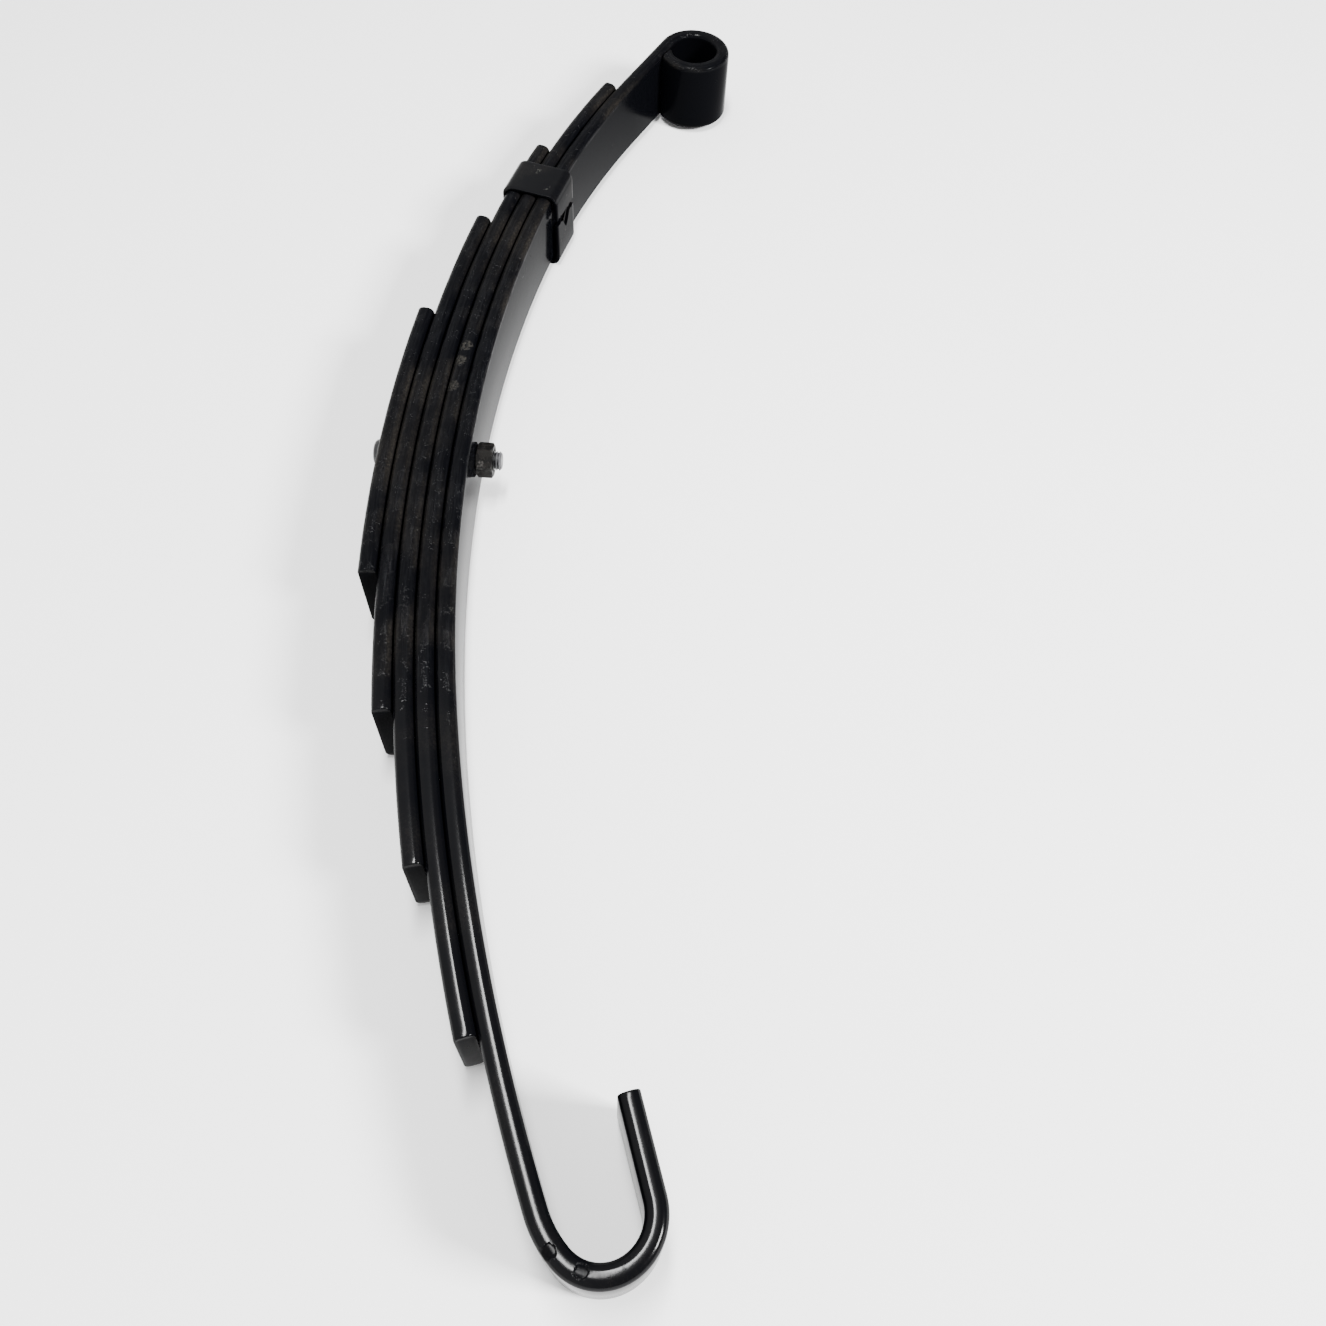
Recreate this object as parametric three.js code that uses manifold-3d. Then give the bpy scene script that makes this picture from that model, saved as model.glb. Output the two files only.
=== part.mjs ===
// Five-leaf slipper spring for a trailer axle, lying on its side.
// Millimetres. X runs along the spring from the hook end (-X) to the eye end (+X),
// the bow opens towards -Y, and Z is the width of the leaves.

import * as THREE from 'three';
import { mergeVertices } from 'three/addons/utils/BufferGeometryUtils.js';
import Module from 'manifold-3d';

const wasm = await Module();
wasm.setup();

// Flat bar that all five leaves are cut from
const LEAF_WIDTH = 45;
const LEAF_THICKNESS = 9;
const LEAF_GAP = 0.4;
const EDGE_RADIUS = 3.5;

// Bow of the main leaf, on its concave face, each length from where the stretch before it ends
const MIDDLE_RADIUS = 857;
const MIDDLE_HALF_LENGTH = 150;
const EYE_SIDE_RADIUS = 619;
const EYE_SIDE_LENGTH = 162;
const EYE_STRAIGHT_LENGTH = 56;
const HOOK_SIDE_RADIUS = 900;
const HOOK_SIDE_LENGTH = 214;

// Reach of the shorter leaves either side of the centre bolt, along the main leaf's concave face
const SECOND_LEAF_TO_HOOK = 300;
const SECOND_LEAF_TO_EYE = 305;
const THIRD_LEAF_TO_HOOK = 229;
const THIRD_LEAF_TO_EYE = 230.5;
const FOURTH_LEAF_TO_HOOK = 157.5;
const FOURTH_LEAF_TO_EYE = 160;
const FIFTH_LEAF_TO_HOOK = 85.5;
const FIFTH_LEAF_TO_EYE = 82.7;

// Rolled eye
const EYE_BORE_RADIUS = 14.5;
const ROLL_END_GAP = 0.4;
const ROLL_END_TILT = THREE.MathUtils.degToRad(4.3);

// Slipper hook, as inside radii and turns
const HOOK_ENTRY_RADIUS = 38;
const HOOK_ENTRY_TURN = THREE.MathUtils.degToRad(24);
const HOOK_RADIUS = 15;
const HOOK_TURN = THREE.MathUtils.degToRad(151);
const HOOK_LEG_LENGTH = 37;

// Centre bolt and nut
const BOLT_DIAMETER = 10;
const BOLT_HOLE_CLEARANCE = 0.4;
const BOLT_HEAD_DIAMETER = 14.5;
const BOLT_HEAD_HEIGHT = 6.5;
const BOLT_HEAD_ROUNDING = 2.5;
const BOLT_END_LENGTH = 4.2;
const BOLT_END_CHAMFER = 1;
const NUT_ACROSS_FLATS = 16;
const NUT_THICKNESS = 8.4;
const NUT_THREAD_CLEARANCE = 0.3;
const NUT_CHAMFER = 1;
const NUT_CHAMFER_SLOPE = THREE.MathUtils.degToRad(30);
const NUT_SIDES = 6;
const NUT_TURN = THREE.MathUtils.degToRad(6.4);

// Rebound clip round the first three leaves, with its rivet through the third.
// On the concave face the strap stands a little off the main leaf.
const CLIP_CENTRE = 197.6;
const CLIP_WIDTH = 27;
const CLIP_THICKNESS = 2;
const CLIP_CORNER_RADIUS = 5.5;
const CLIP_STANDOFF = 1.8;
const SEAM_GAP = 4;
const SEAM_HEIGHT = 28;
const SEAM_SLANT = THREE.MathUtils.degToRad(4);
const RIVET_DIAMETER = 8;
const RIVET_HEAD_DIAMETER = 14;
const RIVET_HEAD_HEIGHT = 3;
const RIVET_SINK_DIAMETER = 13;
const RIVET_SINK_DEPTH = 2.5;
const RIVET_CLEARANCE = 0.3;

// Clearance between pieces that bear on each other
const CONTACT_GAP = 0.3;

// Fineness of the mesh
const STEP_LENGTH = 12;
const STEP_TURN = THREE.MathUtils.degToRad(8);
const CORNER_STEPS = 2;
const ROUND_STEPS = 32;
const DOME_STEPS = 4;
const BOLT_HEAD_STEPS = 3;
const CLIP_CORNER_STEPS = 3;
const MERGE_DISTANCE = 1e-4;

// Values that follow from the ones above
const QUARTER_TURN = Math.PI / 2;
const HALF_TURN = Math.PI;
const FULL_TURN = 2 * Math.PI;
const PITCH = LEAF_THICKNESS + LEAF_GAP;
const CLIPPED_LEAVES = 3;
const LEAF_COUNT = 5;
const PACK_THICKNESS = LEAF_COUNT * PITCH - LEAF_GAP;
const MID_WIDTH = LEAF_WIDTH / 2;
const EYE_OUTER_RADIUS = EYE_BORE_RADIUS + LEAF_THICKNESS;
const BOLT_RADIUS = BOLT_DIAMETER / 2;

const blackPaint = { color: 0x15171b, roughness: 0.3, metalness: 0 };
const darkPhosphate = { color: 0x2b2724, roughness: 0.7, metalness: 0.4 };

const spring = new THREE.Group();

function addPiece(name, geometry, finish, place = { x: 0, y: 0, turn: 0 }) {
  const mesh = new THREE.Mesh(geometry, new THREE.MeshStandardMaterial(finish));
  mesh.name = name;
  mesh.position.set(place.x, place.y, 0);
  mesh.rotation.z = -place.turn;
  spring.add(mesh);
}

// ---------------------------------------------------------------- solids

function toSolid(geometry) {
  const bare = geometry.clone();
  bare.deleteAttribute('normal');
  bare.deleteAttribute('uv');
  const merged = mergeVertices(bare, MERGE_DISTANCE);
  return new wasm.Manifold(new wasm.Mesh({
    numProp: 3,
    vertProperties: new Float32Array(merged.attributes.position.array),
    triVerts: new Uint32Array(merged.index.array),
  }));
}

function toGeometry(solid) {
  const mesh = solid.getMesh();
  const geometry = new THREE.BufferGeometry();
  geometry.setAttribute('position', new THREE.BufferAttribute(mesh.vertProperties, 3));
  geometry.setIndex(new THREE.BufferAttribute(mesh.triVerts, 1));
  return geometry;
}

function cut(geometry, ...cutters) {
  let solid = toSolid(geometry);
  for (const cutter of cutters) {
    solid = solid.subtract(toSolid(cutter));
  }
  return toGeometry(solid);
}

// A turned solid on the Y axis from [radius, y] corners that start and end on the axis
function turned(corners) {
  const profile = corners.map(([radius, y]) => new THREE.Vector2(radius, y));
  return new THREE.LatheGeometry(profile, ROUND_STEPS);
}

function cylinderAlongY(radius, fromY, toY) {
  return turned([[0, fromY], [radius, fromY], [radius, toY], [0, toY]]);
}

// ---------------------------------------------------------------- bow line

// Each stretch is [length, radius], from the centre bolt outwards
const towardsEye = [
  [MIDDLE_HALF_LENGTH, MIDDLE_RADIUS],
  [EYE_SIDE_LENGTH, EYE_SIDE_RADIUS],
  [EYE_STRAIGHT_LENGTH, Infinity],
];
const towardsHook = [
  [MIDDLE_HALF_LENGTH, MIDDLE_RADIUS],
  [HOOK_SIDE_LENGTH, HOOK_SIDE_RADIUS],
  [HOOK_ENTRY_RADIUS * HOOK_ENTRY_TURN, HOOK_ENTRY_RADIUS],
  [HOOK_RADIUS * HOOK_TURN, HOOK_RADIUS],
  [HOOK_LEG_LENGTH, Infinity],
];

function totalLength(stretches) {
  return stretches.reduce((sum, [length]) => sum + length, 0);
}

// Where the line stands after a distance, on the eye side (+1) or the hook side (-1)
function walk(side, distance) {
  const stretches = side > 0 ? towardsEye : towardsHook;
  const place = { x: 0, y: 0, turn: 0 };
  let left = distance;
  for (const [length, radius] of stretches) {
    const step = Math.min(left, length);
    const bend = step / radius;
    const chord = bend > 0 ? 2 * radius * Math.sin(bend / 2) : step;
    place.x += side * chord * Math.cos(place.turn + bend / 2);
    place.y -= chord * Math.sin(place.turn + bend / 2);
    place.turn += bend;
    left -= step;
  }
  place.turn *= side;
  return place;
}

// Distances at which the bar gets a section: fine in bends, none inside a straight stretch
function stationDistances(side, end) {
  const stretches = side > 0 ? towardsEye : towardsHook;
  const distances = [0];
  let start = 0;
  for (const [length, radius] of stretches) {
    const run = Math.min(length, end - start);
    if (run <= 0) {
      break;
    }
    const stepLength = Math.min(STEP_LENGTH, radius * STEP_TURN);
    const steps = Number.isFinite(radius) ? Math.ceil(run / stepLength) : 1;
    for (let i = 1; i <= steps; i += 1) {
      distances.push(start + (run * i) / steps);
    }
    start += length;
  }
  return distances;
}

// ---------------------------------------------------------------- flat bar

// Outline of the bar's section as [depth below the concave face, height], with rounded edges
function barSection(faceDepth) {
  const outline = [];
  const near = faceDepth + EDGE_RADIUS;
  const far = faceDepth + LEAF_THICKNESS - EDGE_RADIUS;
  const corners = [
    [far, EDGE_RADIUS, -QUARTER_TURN],
    [far, LEAF_WIDTH - EDGE_RADIUS, 0],
    [near, LEAF_WIDTH - EDGE_RADIUS, QUARTER_TURN],
    [near, EDGE_RADIUS, HALF_TURN],
  ];
  for (const [depth, height, startAngle] of corners) {
    for (let i = 0; i <= CORNER_STEPS; i += 1) {
      const angle = startAngle + QUARTER_TURN * (i / CORNER_STEPS);
      outline.push([depth + EDGE_RADIUS * Math.cos(angle), height + EDGE_RADIUS * Math.sin(angle)]);
    }
  }
  return outline;
}

// A closed bar through rings of equal length, each a convex outline, capped flat at both ends
function barThrough(rings) {
  const size = rings[0].length;
  const index = [];
  for (let ring = 0; ring < rings.length - 1; ring += 1) {
    for (let i = 0; i < size; i += 1) {
      const a = ring * size + i;
      const b = ring * size + ((i + 1) % size);
      index.push(a, b, a + size, b, b + size, a + size);
    }
  }
  const last = (rings.length - 1) * size;
  for (let i = 1; i < size - 1; i += 1) {
    index.push(0, i + 1, i);
    index.push(last, last + i, last + i + 1);
  }
  const geometry = new THREE.BufferGeometry();
  geometry.setFromPoints(rings.flat());
  geometry.setIndex(index);
  return geometry;
}

function ringAt(place, section) {
  const away = new THREE.Vector2(Math.sin(place.turn), Math.cos(place.turn));
  return section.map(([depth, height]) => (
    new THREE.Vector3(place.x + away.x * depth, place.y + away.y * depth, height)
  ));
}

function leafRings(section, hookEnd, eyeEnd) {
  const hookPlaces = stationDistances(-1, hookEnd).slice(1).reverse().map((s) => walk(-1, s));
  const eyePlaces = stationDistances(1, eyeEnd).map((s) => walk(1, s));
  return [...hookPlaces, ...eyePlaces].map((place) => ringAt(place, section));
}

// The bar goes on from the straight stretch round the bore, and ends against the main leaf.
// The end is one flat cut: its outer corner stands ROLL_END_GAP off the leaf.
function rollRings(section) {
  const foot = walk(1, totalLength(towardsEye));
  const centre = new THREE.Vector2(
    foot.x - Math.sin(foot.turn) * EYE_BORE_RADIUS,
    foot.y - Math.cos(foot.turn) * EYE_BORE_RADIUS,
  );
  const cornerHeight = EYE_BORE_RADIUS - ROLL_END_GAP;
  const cornerReach = Math.sqrt(EYE_OUTER_RADIUS ** 2 - cornerHeight ** 2);
  const cutDistance = cornerHeight * Math.cos(ROLL_END_TILT) - cornerReach * Math.sin(ROLL_END_TILT);
  const steps = Math.ceil(FULL_TURN / STEP_TURN);
  const rings = [];
  for (let step = 1; step <= steps; step += 1) {
    rings.push(section.map(([depth, height]) => {
      const radius = EYE_BORE_RADIUS + depth;
      const fullTurn = FULL_TURN + ROLL_END_TILT - Math.acos(cutDistance / radius);
      const angle = foot.turn + (fullTurn * step) / steps;
      return new THREE.Vector3(
        centre.x + Math.sin(angle) * radius,
        centre.y + Math.cos(angle) * radius,
        height,
      );
    }));
  }
  return rings;
}

// ---------------------------------------------------------------- leaves

const boltHole = cylinderAlongY(
  BOLT_RADIUS + BOLT_HOLE_CLEARANCE,
  -LEAF_THICKNESS,
  PACK_THICKNESS + LEAF_THICKNESS,
).translate(0, 0, MID_WIDTH);

const clipPlace = walk(1, CLIP_CENTRE);
const rivetLeafFace = (CLIPPED_LEAVES - 1) * PITCH;
const clippedDepth = CLIPPED_LEAVES * PITCH - LEAF_GAP;

// Countersunk hole for the rivet through the third leaf, in the clip's own axes
function rivetHole() {
  const radius = RIVET_DIAMETER / 2 + RIVET_CLEARANCE;
  const sinkRadius = RIVET_SINK_DIAMETER / 2 + RIVET_CLEARANCE;
  return turned([
    [0, rivetLeafFace - LEAF_GAP / 2],
    [sinkRadius, rivetLeafFace - LEAF_GAP / 2],
    [sinkRadius, rivetLeafFace],
    [radius, rivetLeafFace + RIVET_SINK_DEPTH],
    [radius, clippedDepth + CLIP_THICKNESS * 2],
    [0, clippedDepth + CLIP_THICKNESS * 2],
  ]).translate(0, 0, MID_WIDTH);
}

function buildMainLeaf() {
  const section = barSection(0);
  const rings = [
    ...leafRings(section, totalLength(towardsHook), totalLength(towardsEye)),
    ...rollRings(section),
  ];
  addPiece('main_leaf', cut(barThrough(rings), boltHole), blackPaint);
}

function buildShortLeaf(name, number, hookEnd, eyeEnd) {
  const bar = barThrough(leafRings(barSection((number - 1) * PITCH), hookEnd, eyeEnd));
  const cutters = [boltHole];
  if (number === CLIPPED_LEAVES) {
    const placed = rivetHole().rotateZ(-clipPlace.turn).translate(clipPlace.x, clipPlace.y, 0);
    cutters.push(placed);
  }
  addPiece(name, cut(bar, ...cutters), blackPaint);
}

// ---------------------------------------------------------------- rebound clip and rivet

function roundedRectangle(left, bottom, right, top, radius) {
  const shape = new THREE.Shape();
  shape.moveTo(left + radius, bottom);
  shape.absarc(right - radius, bottom + radius, radius, -QUARTER_TURN, 0);
  shape.absarc(right - radius, top - radius, radius, 0, QUARTER_TURN);
  shape.absarc(left + radius, top - radius, radius, QUARTER_TURN, HALF_TURN);
  shape.absarc(left + radius, bottom + radius, radius, HALF_TURN, HALF_TURN + QUARTER_TURN);
  return shape;
}

// A strap bent round the leaves whose ends meet at a slanted seam on the concave face
function buildReboundClip() {
  const halfWidth = CLIP_WIDTH / 2;
  const bowRise = EYE_SIDE_RADIUS - Math.sqrt(EYE_SIDE_RADIUS ** 2 - halfWidth ** 2);
  const inner = [-CONTACT_GAP - bowRise - CLIP_STANDOFF, -CONTACT_GAP];
  inner.push(clippedDepth + CONTACT_GAP, LEAF_WIDTH + CONTACT_GAP);
  const outer = inner.map((edge, i) => (i < 2 ? edge - CLIP_THICKNESS : edge + CLIP_THICKNESS));
  const loop = roundedRectangle(...outer, CLIP_CORNER_RADIUS);
  loop.holes.push(roundedRectangle(...inner, CLIP_CORNER_RADIUS - CLIP_THICKNESS));
  const strap = new THREE.ExtrudeGeometry(loop, {
    depth: CLIP_WIDTH,
    bevelEnabled: false,
    curveSegments: CLIP_CORNER_STEPS,
  });
  strap.translate(0, 0, -halfWidth);
  strap.applyMatrix4(new THREE.Matrix4().makeBasis(
    new THREE.Vector3(0, 1, 0),
    new THREE.Vector3(0, 0, 1),
    new THREE.Vector3(1, 0, 0),
  ));
  const seam = new THREE.BoxGeometry(CLIP_WIDTH * 2, CLIP_THICKNESS * 2, SEAM_GAP);
  seam.rotateY(SEAM_SLANT);
  seam.translate(0, inner[0] - CLIP_THICKNESS / 2, SEAM_HEIGHT);
  addPiece('rebound_clip', cut(strap, seam, rivetHole()), blackPaint, clipPlace);
}

function buildClipRivet() {
  const sunkFace = rivetLeafFace;
  const headFace = clippedDepth + CONTACT_GAP + CLIP_THICKNESS + CONTACT_GAP;
  const radius = RIVET_DIAMETER / 2;
  const headRadius = RIVET_HEAD_DIAMETER / 2;
  const dome = [];
  for (let i = 0; i < DOME_STEPS; i += 1) {
    const angle = (QUARTER_TURN * i) / DOME_STEPS;
    dome.push([headRadius * Math.cos(angle), headFace + RIVET_HEAD_HEIGHT * Math.sin(angle)]);
  }
  const rivet = turned([
    [0, sunkFace],
    [RIVET_SINK_DIAMETER / 2 - RIVET_CLEARANCE, sunkFace],
    [radius, sunkFace + RIVET_SINK_DEPTH],
    [radius, headFace],
    ...dome,
    [0, headFace + RIVET_HEAD_HEIGHT],
  ]).translate(0, 0, MID_WIDTH);
  addPiece('clip_rivet', rivet, blackPaint, clipPlace);
}

// ---------------------------------------------------------------- centre bolt and nut

function buildCentreBolt() {
  const headFace = PACK_THICKNESS + CONTACT_GAP;
  const headTop = headFace + BOLT_HEAD_HEIGHT;
  const headRadius = BOLT_HEAD_DIAMETER / 2;
  const end = -CONTACT_GAP - NUT_THICKNESS - BOLT_END_LENGTH;
  const corners = [
    [0, end],
    [BOLT_RADIUS - BOLT_END_CHAMFER, end],
    [BOLT_RADIUS, end + BOLT_END_CHAMFER],
    [BOLT_RADIUS, headFace],
    [headRadius, headFace],
  ];
  for (let i = 0; i <= BOLT_HEAD_STEPS; i += 1) {
    const angle = QUARTER_TURN * (i / BOLT_HEAD_STEPS);
    corners.push([
      headRadius - BOLT_HEAD_ROUNDING + BOLT_HEAD_ROUNDING * Math.cos(angle),
      headTop - BOLT_HEAD_ROUNDING + BOLT_HEAD_ROUNDING * Math.sin(angle),
    ]);
  }
  corners.push([0, headTop]);
  addPiece('centre_bolt', turned(corners).translate(0, 0, MID_WIDTH), blackPaint);
}

function buildCentreNut() {
  const rim = NUT_ACROSS_FLATS / 2;
  const cornerRadius = rim / Math.cos(HALF_TURN / NUT_SIDES);
  const half = NUT_THICKNESS / 2;
  const prism = new THREE.CylinderGeometry(cornerRadius, cornerRadius, NUT_THICKNESS, NUT_SIDES);
  prism.rotateY(-NUT_TURN);
  const chamferRise = NUT_CHAMFER * Math.tan(NUT_CHAMFER_SLOPE);
  const chamfers = turned([
    [0, -half],
    [rim, -half],
    [rim + NUT_CHAMFER, -half + chamferRise],
    [rim + NUT_CHAMFER * 2, -half + chamferRise * 2],
    [rim + NUT_CHAMFER * 2, half - chamferRise * 2],
    [rim + NUT_CHAMFER, half - chamferRise],
    [rim, half],
    [0, half],
  ]);
  const blank = toGeometry(toSolid(prism).intersect(toSolid(chamfers)));
  const hole = cylinderAlongY(BOLT_RADIUS + NUT_THREAD_CLEARANCE, -NUT_THICKNESS, NUT_THICKNESS);
  const nut = cut(blank, hole);
  nut.translate(0, -CONTACT_GAP - half, MID_WIDTH);
  addPiece('centre_nut', nut, darkPhosphate);
}

buildMainLeaf();
buildShortLeaf('second_leaf', 2, SECOND_LEAF_TO_HOOK, SECOND_LEAF_TO_EYE);
buildShortLeaf('third_leaf', 3, THIRD_LEAF_TO_HOOK, THIRD_LEAF_TO_EYE);
buildShortLeaf('fourth_leaf', 4, FOURTH_LEAF_TO_HOOK, FOURTH_LEAF_TO_EYE);
buildShortLeaf('fifth_leaf', 5, FIFTH_LEAF_TO_HOOK, FIFTH_LEAF_TO_EYE);
buildReboundClip();
buildClipRivet();
buildCentreBolt();
buildCentreNut();

// The origin is the middle of the box that the whole spring fills, on its underside
spring.updateMatrixWorld(true);
const box = new THREE.Box3().setFromObject(spring, true);
const middle = box.getCenter(new THREE.Vector3());
spring.position.set(-middle.x, -middle.y, -box.min.z);

const part = new THREE.Group();
part.add(spring);

export default part;
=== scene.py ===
# %% [markdown]
# # A slipper leaf spring, modelled the way it is made
# A trailer's slipper spring is a stack of flat steel bars, bent to one bow and held by a bolt
# through their middle. The longest bar is rolled into an eye at one end and bent back into a hook
# at the other.
# Everything below follows the workshop: one bar section is drawn, then bent along the bow.

import math
import random

import bpy
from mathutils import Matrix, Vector


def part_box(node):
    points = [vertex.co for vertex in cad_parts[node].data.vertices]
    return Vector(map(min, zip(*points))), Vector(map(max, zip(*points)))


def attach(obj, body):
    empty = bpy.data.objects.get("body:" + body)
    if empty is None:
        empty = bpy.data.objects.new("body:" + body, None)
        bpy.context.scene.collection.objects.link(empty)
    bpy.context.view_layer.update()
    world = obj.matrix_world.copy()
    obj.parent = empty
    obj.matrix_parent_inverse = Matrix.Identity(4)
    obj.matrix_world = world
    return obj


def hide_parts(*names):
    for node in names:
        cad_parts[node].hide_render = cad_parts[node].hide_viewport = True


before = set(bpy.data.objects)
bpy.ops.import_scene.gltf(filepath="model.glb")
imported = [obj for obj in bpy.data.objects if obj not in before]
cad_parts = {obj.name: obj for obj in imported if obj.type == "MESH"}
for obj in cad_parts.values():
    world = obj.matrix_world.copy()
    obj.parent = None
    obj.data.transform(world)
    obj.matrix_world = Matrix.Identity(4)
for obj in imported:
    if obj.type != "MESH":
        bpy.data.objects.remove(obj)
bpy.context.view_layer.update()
random.seed(7)

# %% [markdown]
# ## Sizes
# The bow is a chain of arcs, each starting where the one before ends. Lengths are in metres along
# the concave face of the longest bar, counted from the centre bolt. The place of the bolt, the
# underside of the bars and the concave face come from the frame's own nodes.

# %% Sizes
MM = 0.001
BAR_WIDTH = 45 * MM
BAR_THICKNESS = 9 * MM
BAR_PITCH = 9.4 * MM
EDGE_RADIUS = 3.5 * MM
CONTACT_GAP = 0.3 * MM
TO_EYE = [(150 * MM, 857 * MM), (162 * MM, 619 * MM), (56 * MM, None)]
HOOK_BENDS = [(38 * MM * math.radians(24), 38 * MM), (15 * MM * math.radians(151), 15 * MM)]
TO_HOOK = [(150 * MM, 857 * MM), (214 * MM, 900 * MM)] + HOOK_BENDS + [(37 * MM, None)]
BORE_RADIUS = 14.5 * MM

bolt_low, bolt_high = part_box("centre_bolt")
nut_low, nut_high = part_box("centre_nut")
BOLT_X = (bolt_low.x + bolt_high.x) / 2
MID_Z = (bolt_low.z + bolt_high.z) / 2
FACE_Y = nut_high.y + CONTACT_GAP
print(f"bolt at x {BOLT_X:.4f}, middle at z {MID_Z:.4f}, concave face at y {FACE_Y:.4f}")

# %% [markdown]
# ## Camera
# The spring lies on its side and the camera looks down on it past the hook end. An empty that
# the camera tracks would do the same job. The three directions are written out here because the
# roll matters as much as the aim.

# %% Camera
CAMERA_FROM_BOLT = Vector((-0.407612, -0.102640, 0.484111))
CAMERA_RIGHT = Vector((0.045966, -0.997834, 0.047056))
CAMERA_UP = Vector((0.841280, 0.064068, 0.536789))
CAMERA_LENS = 32.437
CAMERA_SHIFT = (-0.01340, -0.02443)

camera_data = bpy.data.cameras.new("camera")
camera_data.sensor_width = 36.0
camera_data.lens = CAMERA_LENS
camera_data.shift_x, camera_data.shift_y = CAMERA_SHIFT
camera = bpy.data.objects.new("camera", camera_data)
bpy.context.scene.collection.objects.link(camera)
right = CAMERA_RIGHT.normalized()
back = right.cross(CAMERA_UP).normalized()
up = back.cross(right)
turn = camera.matrix_world.to_3x3()
turn.col[0], turn.col[1], turn.col[2] = right, up, back
camera.matrix_world = turn.to_4x4()
camera.location = Vector((BOLT_X, FACE_Y, MID_Z)) + CAMERA_FROM_BOLT
bpy.context.scene.camera = camera
print("camera looks along", tuple(round(c, 3) for c in -back))

# %% [markdown]
# ## Small helpers
# Editing by script means saying in code what a hand would click on. These pick faces, edges or
# vertices by place or direction, then hand them to an edit-mode operator.

# %% Selection and finishing helpers
MERGE_DISTANCE = 0.002 * MM


def clear_selection():
    """Nothing selected, nothing in edit mode."""
    if bpy.context.object and bpy.context.object.mode == "EDIT":
        bpy.ops.object.mode_set(mode="OBJECT")
    bpy.ops.object.select_all(action="DESELECT")


def take(piece):
    """Make one piece the selected, active one."""
    clear_selection()
    piece.select_set(True)
    bpy.context.view_layer.objects.active = piece


def pick(piece, kind, test):
    """Select the faces, edges or vertices that pass a test, and stay in edit mode."""
    take(piece)
    mesh = piece.data
    for group in (mesh.vertices, mesh.edges, mesh.polygons):
        group.foreach_set("select", [False] * len(group))
    chosen = {"FACE": mesh.polygons, "EDGE": mesh.edges, "VERT": mesh.vertices}[kind]
    found = 0
    for item in chosen:
        if test(item):
            item.select = True
            found += 1
    bpy.ops.object.mode_set(mode="EDIT")
    bpy.ops.mesh.select_mode(type=kind)
    return found


def leave_edit():
    bpy.ops.object.mode_set(mode="OBJECT")


def place_in_mesh(piece):
    """The object goes to the origin and its place into its mesh."""
    take(piece)
    bpy.ops.object.transform_apply(location=True, rotation=True, scale=True)


def apply_modifier(piece, kind, **settings):
    """Add a modifier, set it and apply it."""
    take(piece)
    modifier = piece.modifiers.new(kind.lower(), kind)
    for name, value in settings.items():
        setattr(modifier, name, value)
    bpy.ops.object.modifier_apply(modifier=modifier.name)


def point_outwards(piece, merge=False):
    """Turn every face outwards, after merging doubled corners if asked."""
    take(piece)
    bpy.ops.object.mode_set(mode="EDIT")
    bpy.ops.mesh.select_all(action="SELECT")
    if merge:
        bpy.ops.mesh.remove_doubles(threshold=MERGE_DISTANCE)
    bpy.ops.mesh.normals_make_consistent(inside=False)
    leave_edit()


def close_up(piece, smooth_angle=35):
    """Merge doubles, point the faces outwards and shade the soft edges smooth."""
    point_outwards(piece, merge=True)
    bpy.ops.object.shade_smooth_by_angle(angle=math.radians(smooth_angle))
    print(f"{piece.name}: {len(piece.data.polygons)} faces")


# %% [markdown]
# ## One bar section
# Spring bar is rolled flat with rounded edges. The section starts as a plane standing across the
# bow at the centre bolt, and its four corners are bevelled. Each corner of the section also stores
# how deep in the bar it lies, and every bend copies that value along, so the finishes can use it.

# %% Bar section
SECTION_STEPS = 6


def bar_section(name, depth):
    """A rounded bar section at the centre bolt, its concave side at this depth in the stack."""
    clear_selection()
    middle = (BOLT_X, FACE_Y + depth + BAR_THICKNESS / 2, MID_Z)
    bpy.ops.mesh.primitive_plane_add(size=1, location=middle, rotation=(0, math.pi / 2, 0))
    piece = bpy.context.object
    piece.name = name
    piece.data.name = name
    piece.scale = (BAR_WIDTH, BAR_THICKNESS, 1)
    place_in_mesh(piece)
    pick(piece, "VERT", lambda v: True)
    bpy.ops.mesh.bevel(offset=EDGE_RADIUS, segments=SECTION_STEPS, affect="VERTICES")
    leave_edit()
    stored = piece.data.attributes.new("depth", "FLOAT", "POINT")
    depths = [(v.co.y - FACE_Y - depth) / BAR_THICKNESS for v in piece.data.vertices]
    stored.data.foreach_set("value", depths)
    return piece


# %% [markdown]
# ## Bending
# A bar former bends in arcs, and Spin does exactly that: it turns the selected end face about the
# centre of the arc and leaves the bar behind it. A straight stretch is extruded. A curve with a
# bevel profile would be quicker, but it cannot keep the flat end cuts or change radius so cleanly.

# %% Bend a bar along its stretches
BEND_STEP = 3 * MM
BEND_TURN = math.radians(4)


def stretch_end(place, side, length, radius):
    """Where a stretch ends: x, y and turn of the concave face."""
    x, y, heading_in = place
    bend = length / radius if radius else 0
    chord = 2 * radius * math.sin(bend / 2) if radius else length
    heading = heading_in + bend / 2
    end_x = x + side * chord * math.cos(heading)
    return (end_x, y - chord * math.sin(heading), heading_in + bend)


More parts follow.
